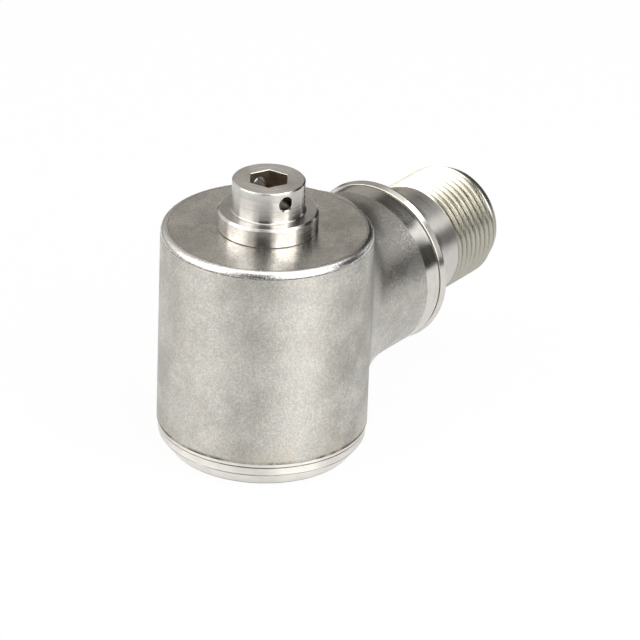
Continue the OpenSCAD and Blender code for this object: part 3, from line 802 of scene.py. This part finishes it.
def make_screw():
    """The captive screw: threaded end, relieved shank, flange, and a head with socket and lockwire hole."""
    skin = Skin()
    body, socket_wall, hole_wall, face = range(4)
    tip_r = 2.575
    groove_start = 21.0
    groove_end = 22.7
    groove_r = 2.35
    tip_slope = 1.0
    shank_start = 0.6
    run_out = (SCREW_R - SHANK_R) / shank_start

    def trim(along, radius):
        radius = min(radius, tip_r + tip_slope * (along - SCREW_TIP))
        return min(radius, SHANK_R + run_out * (shank_start - along))

    thread = thread_rows(SCREW_TIP, shank_start, SCREW_PITCH, SCREW_R, trim)
    rest = rounded([
        (shank_start, SHANK_R, 0), (groove_start, SHANK_R, 0), (groove_start, groove_r, 0),
        (groove_end, groove_r, 0), (groove_end, SHANK_R, 0), (FLANGE_Z, SHANK_R, 0),
        (FLANGE_Z, FLANGE_R, 0.1), (FLANGE_TOP - 0.3, FLANGE_R, 0.06),
        (FLANGE_TOP, FLANGE_R - 0.3, 0.06), (FLANGE_TOP, HEAD_R, 0.25), (HEAD_TOP - 0.16, HEAD_R, 0.05),
        (HEAD_TOP, HEAD_R - 0.16, 0.05), (HEAD_TOP, 0, 0),
    ], closed=False, steps=5)
    turned(skin, [(SCREW_TIP, 0.0)] + thread + rest, round_z, 216, body)
    piece = skin.finish("screw")
    for polygon in piece.data.polygons:
        if polygon.normal.z > 0.97 and polygon.center.z > (HEAD_TOP - 0.05) * METRE:
            polygon.material_index = face

    turn = math.radians(SOCKET_TURN)
    mouth = 0.06
    floor = HEAD_TOP - SOCKET_DEPTH
    wide_r = SOCKET_R + 2 * mouth / math.cos(math.radians(30))

    def place_socket(along, radius, angle):
        return round_z(along, radius, angle + turn)

    socket = Skin()
    deep = [(floor, 0.0), (floor, SOCKET_R), (HEAD_TOP - mouth, SOCKET_R)]
    wide = [(HEAD_TOP - mouth, SOCKET_R), (HEAD_TOP + mouth, wide_r), (HEAD_TOP + mouth, 0.0)]
    # The socket's walls get the steel that is painted dark as shade.
    turned(socket, deep, place_socket, 6, socket_wall)
    turned(socket, wide, place_socket, 6, body)
    drill = Skin()
    cone = [(floor - 0.7, 0.0), (floor - 0.7, 0.3), (floor + 0.02, 2.36), (floor + 0.02, 0.0)]
    turned(drill, cone, round_z, 64, socket_wall)
    hole = Skin()
    across = turn + math.radians(30)

    def place_hole(along, radius, angle):
        side = radius * math.cos(angle)
        x = along * math.cos(across) - side * math.sin(across)
        y = along * math.sin(across) + side * math.cos(across)
        return (x, y, WIRE_HOLE_Z + radius * math.sin(angle))

    flare = [(4.5, WIRE_HOLE_R), (4.6, WIRE_HOLE_R + 0.01), (4.7, WIRE_HOLE_R + 0.09),
             (5.2, WIRE_HOLE_R + 0.59), (5.2, 0.0)]
    # The hole's wall gets the steel that is painted dark as shade.
    turned(hole, [(-4.5, WIRE_HOLE_R), (4.5, WIRE_HOLE_R)], place_hole, 72, hole_wall)
    # The flares take the lighter faced steel, which paints a bright ring round the hole.
    turned(hole, flare, place_hole, 72, face)
    turned(hole, [(-x, r) for x, r in flare], place_hole, 72, face)
    cut(piece, [socket.finish("cutter_a"), drill.finish("cutter_b"), hole.finish("cutter_c")],
        [SCREW_STEEL, SHADED_SOCKET_STEEL, SHADED_HOLE_STEEL, FACE_STEEL_AND_HIGHLIGHT])
    place_piece(piece, "mounting_screw", "captive_screw", "screw_steel")


make_case()
make_base()
make_shell()
make_glass()
make_pin(-1, "pin_a", "contact_pin_a")
make_pin(1, "pin_b", "contact_pin_b")
make_screw()


# The stage: a pale floor with a hole for the screw's threaded end, soft lights and dark cards


def stage_material(name, colour, seen_glow, mirror_glow):
    """Seen straight or in a reflection the floor glows near white, and it keeps the object's shadow."""
    shader = Shader(name)
    shader.set(Roughness=1.0)
    shader.surface.inputs["Specular IOR Level"].default_value = 0.0
    shader.surface.inputs["Base Color"].default_value = (*colour, 1.0)
    light = shader.add("ShaderNodeEmission")
    path = shader.add("ShaderNodeLightPath")
    mixer = shader.add("ShaderNodeMixShader")
    mirrored = shader.math("MAXIMUM", path.outputs["Is Transmission Ray"], path.outputs["Is Glossy Ray"])
    seen = shader.math("MULTIPLY", path.outputs["Is Camera Ray"], seen_glow)
    shader.join(shader.math("MULTIPLY_ADD", mirrored, mirror_glow, seen), mixer.inputs[0])
    shader.join(shader.surface.outputs[0], mixer.inputs[1])
    shader.join(light.outputs[0], mixer.inputs[2])
    output = [node for node in shader.tree.nodes if node.type == "OUTPUT_MATERIAL"][0]
    shader.join(mixer.outputs[0], output.inputs[0])
    return shader.material


def make_floor():
    skin = Skin()
    turned(skin, [(-0.03, r) for r in (3.9, 20, 60, 200, 1000, 4000)], round_z, 96)
    floor = skin.finish("floor")
    floor.data.materials.append(stage_material("floor_white", (0.9, 0.9, 0.9), 0.95, 0.55))


def make_world():
    """White as a background and in reflections; as light on matt surfaces it is dimmer."""
    world = bpy.data.worlds.new("studio")
    bpy.context.scene.world = world
    world.use_nodes = True
    tree = world.node_tree
    background = tree.nodes["Background"]
    background.inputs["Color"].default_value = (1.0, 0.985, 0.96, 1.0)
    path = tree.nodes.new("ShaderNodeLightPath")
    seen = path.outputs["Is Camera Ray"]
    for other in ("Is Glossy Ray", "Is Transmission Ray"):
        larger = tree.nodes.new("ShaderNodeMath")
        larger.operation = "MAXIMUM"
        tree.links.new(seen, larger.inputs[0])
        tree.links.new(path.outputs[other], larger.inputs[1])
        seen = larger.outputs[0]
    level = tree.nodes.new("ShaderNodeMapRange")
    tree.links.new(seen, level.inputs["Value"])
    level.inputs["To Min"].default_value = 0.4
    level.inputs["To Max"].default_value = 1.0
    tree.links.new(level.outputs["Result"], background.inputs["Strength"])


def make_screen(name, distance, azimuths, heights, edges, tones):
    """A dark upright screen on an arc round the object that only shows in reflections.
    azimuths and edges are degrees, heights are degrees over the floor. tones are (azimuth, glow) pairs."""
    skin = Skin()
    rows = [[round_case(distance, math.radians(a), distance * math.tan(math.radians(h)))
             for a in spaced(*azimuths, 48)] for h in spaced(*heights, 12)]
    skin.patch(rows)
    screen = skin.finish(name)
    shader = Shader(name)
    azimuth = shader.math("MULTIPLY", shader.math("ARCTAN2", shader.y, shader.x), 360 / TURN)
    height = shader.math("MULTIPLY", shader.math("ARCTAN2", shader.z, distance), 360 / TURN)
    middle = sum(azimuths) / 2
    turned_by = shader.math("WRAP", shader.math("SUBTRACT", azimuth, middle), 180.0, -180.0)
    half = (azimuths[1] - azimuths[0]) / 2
    left, right, top = edges
    cover = shader.math("MULTIPLY", shader.fit(turned_by, -half, -half + left),
                        shader.fit(turned_by, half, half - right))
    cover = shader.math("MULTIPLY", cover, shader.fit(height, heights[1], heights[1] - top))
    (first, low), (last, high) = tones
    glow = shader.fit(turned_by, first - middle, last - middle, low, high)
    light = shader.add("ShaderNodeEmission")
    light.inputs["Color"].default_value = (1.0, 0.96, 0.9, 1.0)
    shader.join(glow, light.inputs["Strength"])
    clear = shader.add("ShaderNodeBsdfTransparent")
    mixer = shader.add("ShaderNodeMixShader")
    shader.join(cover, mixer.inputs[0])
    shader.join(clear.outputs[0], mixer.inputs[1])
    shader.join(light.outputs[0], mixer.inputs[2])
    output = [node for node in shader.tree.nodes if node.type == "OUTPUT_MATERIAL"][0]
    shader.join(mixer.outputs[0], output.inputs[0])
    screen.data.materials.append(shader.material)
    screen.visible_camera = False
    screen.visible_diffuse = False
    screen.visible_shadow = False


def make_light(name, target, azimuth, elevation, distance, width, height, radiance):
    """A softbox that faces the target; radiance is its brightness in a reflection."""
    a = math.radians(azimuth)
    e = math.radians(elevation)
    away = Vector((math.cos(e) * math.cos(a), math.cos(e) * math.sin(a), math.sin(e)))
    data = bpy.data.lights.new(name, "AREA")
    data.shape = "RECTANGLE"
    data.size = width * METRE
    data.size_y = height * METRE
    data.energy = radiance * math.pi * data.size * data.size_y
    light = bpy.data.objects.new(name, data)
    light.location = (Vector(target) + away * distance) * METRE
    light.rotation_euler = away.to_track_quat("Z", "Y").to_euler()
    light.visible_camera = False
    bpy.context.scene.collection.objects.link(light)


def make_camera():
    """Looks at the object from the photograph's place."""
    target = Vector((4.228, -5.912, 18.095)) * METRE
    back = Vector((-0.7257, -0.5190, 0.4516)).normalized()
    right = Vector((0.5817, -0.8134, 0.0)).normalized()
    up = back.cross(right)
    roll = math.radians(2.047)
    x_axis = math.cos(roll) * right + math.sin(roll) * up
    y_axis = -math.sin(roll) * right + math.cos(roll) * up
    data = bpy.data.cameras.new("camera")
    data.lens = 284.4
    data.sensor_width = 36.0
    camera = bpy.data.objects.new("camera", data)
    distance = 665.633
    turn = Matrix((x_axis, y_axis, back)).transposed().to_4x4()
    camera.matrix_world = Matrix.Translation(target + back * distance * METRE) @ turn
    bpy.context.scene.collection.objects.link(camera)
    bpy.context.scene.camera = camera


make_floor()
make_world()
make_light("softbox_right", (0, 0, 20), -100, 30, 420, 340, 400, 2.7)
make_light("softbox_left", (0, 0, 20), 142, 30, 420, 360, 400, 1.9)
make_light("softbox_top", (0, 0, 20), 0, 90, 600, 420, 420, 1.3)
make_light("softbox_high", (0, 0, 20), -48, 58, 500, 300, 190, 2.3)
make_light("kicker", (24, -9, 25), -28, 25, 45, 18, 19, 1.35)
make_screen("screen_back", 700, (-70, 95), (-2, 61), (12, 45, 12), ((20, 0.05), (34, 0.44)))
make_screen("screen_low", 260, (-180, 180), (-2, 10), (0.1, 0.1, 3), ((-90, 0.015), (90, 0.015)))
make_screen("screen_front", 800, (-176, -131), (-2, 76), (8, 8, 10), ((-160, 0.03), (-140, 0.03)))
make_camera()

bpy.context.scene.view_settings.view_transform = "Standard"
